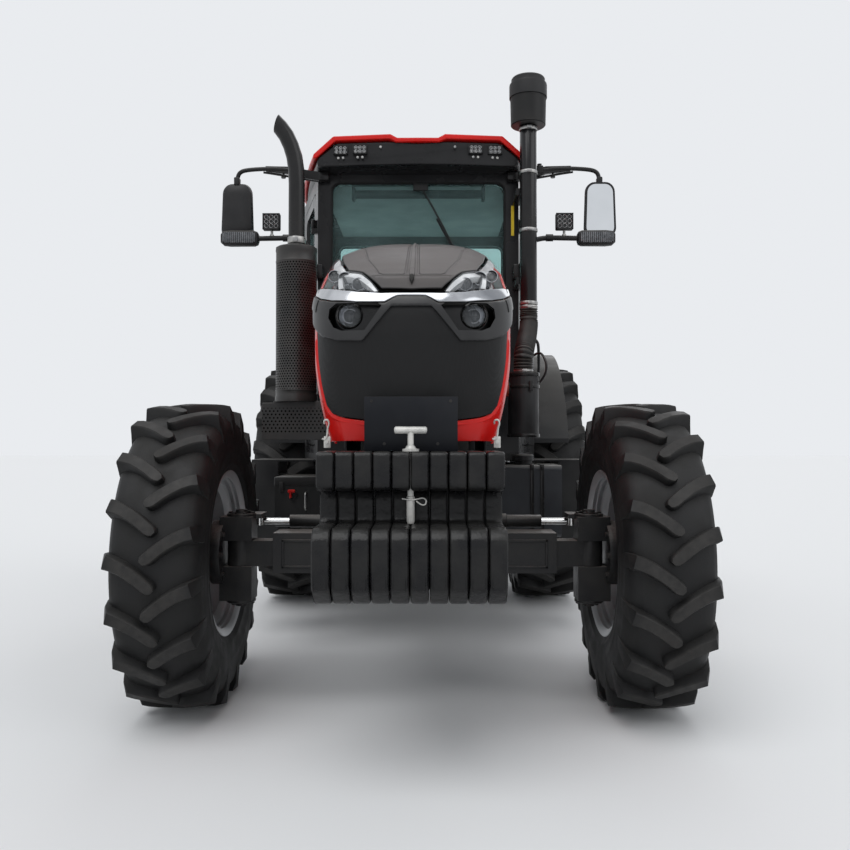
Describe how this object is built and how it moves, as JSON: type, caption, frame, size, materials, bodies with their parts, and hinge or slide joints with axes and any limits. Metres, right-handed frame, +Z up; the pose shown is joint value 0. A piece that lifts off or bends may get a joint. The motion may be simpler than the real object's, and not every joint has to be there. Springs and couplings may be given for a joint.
{
  "type": "farm tractor",
  "caption": "Farm tractor with driven front axle, closed cab, tilting hood, front weights and rear implement hitch.",
  "frame": {"origin": "middle of the tractor's outline seen from above, on the ground under the tyres", "axes": "+Z up, +Y towards the tractor's rear, +X towards its own left-hand side; it faces -Y"},
  "size_m": [2.418, 5.05, 3.2619],
  "materials": {
    "tyre": "black rubber, lugs rubbed grey-brown",
    "rim_silver": "silver-grey paint, satin",
    "chassis_black": "black chassis paint, satin",
    "engine_grey": "dark grey painted casting",
    "weight_black": "black painted casting, worn edges",
    "zinc": "bright zinc plating",
    "hood_red": "red gloss paint",
    "hood_black": "dark grey moulded plastic, fine grain",
    "grille_black": "black fine-mesh steel",
    "trim_chrome": "bright trim",
    "lamp_clear": "clear lamp lens over a bright reflector",
    "heat_black": "black heat-proof paint",
    "black_plastic": "black moulded plastic",
    "hose_rubber": "ribbed black rubber",
    "cab_black": "black cab paint, gloss",
    "cab_glass": "green-tinted safety glass",
    "roof_red": "red moulded roof cap",
    "lamp_led": "LED work lamp",
    "fender_black": "dark grey moulded fender",
    "interior_grey": "grey cab lining",
    "seat_fabric": "dark woven seat cover"
  },
  "bodies": {
    "chassis": {"front_frame": "chassis_black", "front_axle": "chassis_black", "steering_cylinder": "chassis_black", "engine": "engine_grey", "transmission": "engine_grey", "front_drive_shaft": "chassis_black", "rear_axle": "engine_grey", "front_weights": "weight_black", "tow_pin": "zinc", "front_plate": "chassis_black", "engine_side_covers": "grille_black", "exhaust": "heat_black", "muffler_guard": "chassis_black", "air_cleaner": "black_plastic", "intake_hose": "hose_rubber", "intake_pipe": "heat_black", "pre_cleaner": "black_plastic", "fuel_tank": "black_plastic", "battery_box": "chassis_black", "cab_frame": "cab_black", "cab_glass": "cab_glass", "cab_floor": "cab_black", "roof_surround": "black_plastic", "roof": "roof_red", "roof_lights": "lamp_led", "rear_fenders": "fender_black", "steps": "chassis_black", "mirrors": "black_plastic", "lamp_arms": "black_plastic", "dashboard": "interior_grey", "seat_base": "interior_grey", "seat": "seat_fabric", "drawbar": "chassis_black"},
    "steer_left": {"knuckle_left": "chassis_black"},
    "steer_right": {"knuckle_right": "chassis_black"},
    "steering_rod": {"steering_rod": "zinc"},
    "steering_wheel": {"steering_wheel": "black_plastic"},
    "hood": {"hood_shell": "hood_red", "hood_top": "hood_black", "hood_trim": "trim_chrome", "lamp_mask": "hood_black", "front_grille": "grille_black", "front_lamps": "lamp_clear"},
    "door_left": {"door_frame_left": "cab_black", "door_glass_left": "cab_glass"},
    "door_right": {"door_frame_right": "cab_black", "door_glass_right": "cab_glass"},
    "lift_arms": {"lift_arms": "engine_grey"},
    "lift_rods": {"lift_rods": "chassis_black"},
    "lower_links": {"lower_links": "chassis_black"},
    "top_link": {"top_link": "chassis_black"},
    "front_wheel_left": {"front_tyre_left": "tyre", "front_rim_left": "rim_silver"},
    "rear_wheel_left": {"rear_tyre_left": "tyre", "rear_rim_left": "rim_silver"},
    "front_wheel_right": {"front_tyre_right": "tyre", "front_rim_right": "rim_silver"},
    "rear_wheel_right": {"rear_tyre_right": "tyre", "rear_rim_right": "rim_silver"}
  },
  "joints": [
    {"name": "steer_left", "type": "hinge", "parent": "chassis", "child": "steer_left", "pos_m": [0.8, -1.405, 0.6835], "axis": [0, 0, 1], "range_deg": [-35, 35]},
    {"name": "front_wheel_left", "type": "hinge", "parent": "steer_left", "child": "front_wheel_left", "pos_m": [1.02, -1.405, 0.6835], "axis": [1, 0, 0], "continuous": true},
    {"name": "rear_wheel_left", "type": "hinge", "parent": "chassis", "child": "rear_wheel_left", "pos_m": [0.935, 1.375, 0.8775], "axis": [1, 0, 0], "continuous": true},
    {"name": "steer_right", "type": "hinge", "parent": "chassis", "child": "steer_right", "pos_m": [-0.8, -1.405, 0.6835], "axis": [0, 0, 1], "range_deg": [-35, 35]},
    {"name": "front_wheel_right", "type": "hinge", "parent": "steer_right", "child": "front_wheel_right", "pos_m": [-1.02, -1.405, 0.6835], "axis": [1, 0, 0], "continuous": true},
    {"name": "rear_wheel_right", "type": "hinge", "parent": "chassis", "child": "rear_wheel_right", "pos_m": [-0.935, 1.375, 0.8775], "axis": [1, 0, 0], "continuous": true},
    {"name": "door_left", "type": "hinge", "parent": "chassis", "child": "door_left", "pos_m": [0.64077, -0.173, 1.9], "axis": [0, 0, -1], "range_deg": [0, 70]},
    {"name": "door_right", "type": "hinge", "parent": "chassis", "child": "door_right", "pos_m": [-0.64077, -0.173, 1.9], "axis": [0, 0, 1], "range_deg": [0, 70]},
    {"name": "steering_rod", "type": "slide", "parent": "chassis", "child": "steering_rod", "axis": [1, 0, 0], "range_m": [-0.0705, 0.0705]},
    {"name": "steering_wheel", "type": "hinge", "parent": "chassis", "child": "steering_wheel", "pos_m": [0, 0.185, 1.93], "axis": [0, 0.5736, 0.8192], "range_deg": [-540, 540]},
    {"name": "hood", "type": "hinge", "parent": "chassis", "child": "hood", "pos_m": [0, -0.385, 2.15], "axis": [-1, 0, 0], "range_deg": [0, 50]},
    {"name": "lift_arms", "type": "hinge", "parent": "chassis", "child": "lift_arms", "pos_m": [0, 1.59, 1.19], "axis": [1, 0, 0], "range_deg": [-15, 38]},
    {"name": "lift_rods", "type": "hinge", "parent": "lift_arms", "child": "lift_rods", "pos_m": [0, 1.925, 1.25], "axis": [1, 0, 0], "range_deg": [-35, 14]},
    {"name": "lower_links", "type": "hinge", "parent": "chassis", "child": "lower_links", "pos_m": [0, 1.615, 0.64], "axis": [1, 0, 0], "range_deg": [-13, 33]},
    {"name": "top_link", "type": "hinge", "parent": "chassis", "child": "top_link", "pos_m": [0, 1.68, 0.985], "axis": [-1, 0, 0], "range_deg": [0, 80]}
  ],
  "couplings": [
    {"joint": "steer_right", "follows": "steer_left", "ratio": 1},
    {"joint": "steering_rod", "follows": "steer_left", "m_per_rad": -0.115},
    {"joint": "steering_wheel", "follows": "steer_left", "ratio": 15.4},
    {"joint": "lower_links", "follows": "lift_arms", "ratio": 0.86},
    {"joint": "lift_rods", "follows": "lift_arms", "ratio": -0.9}
  ]
}
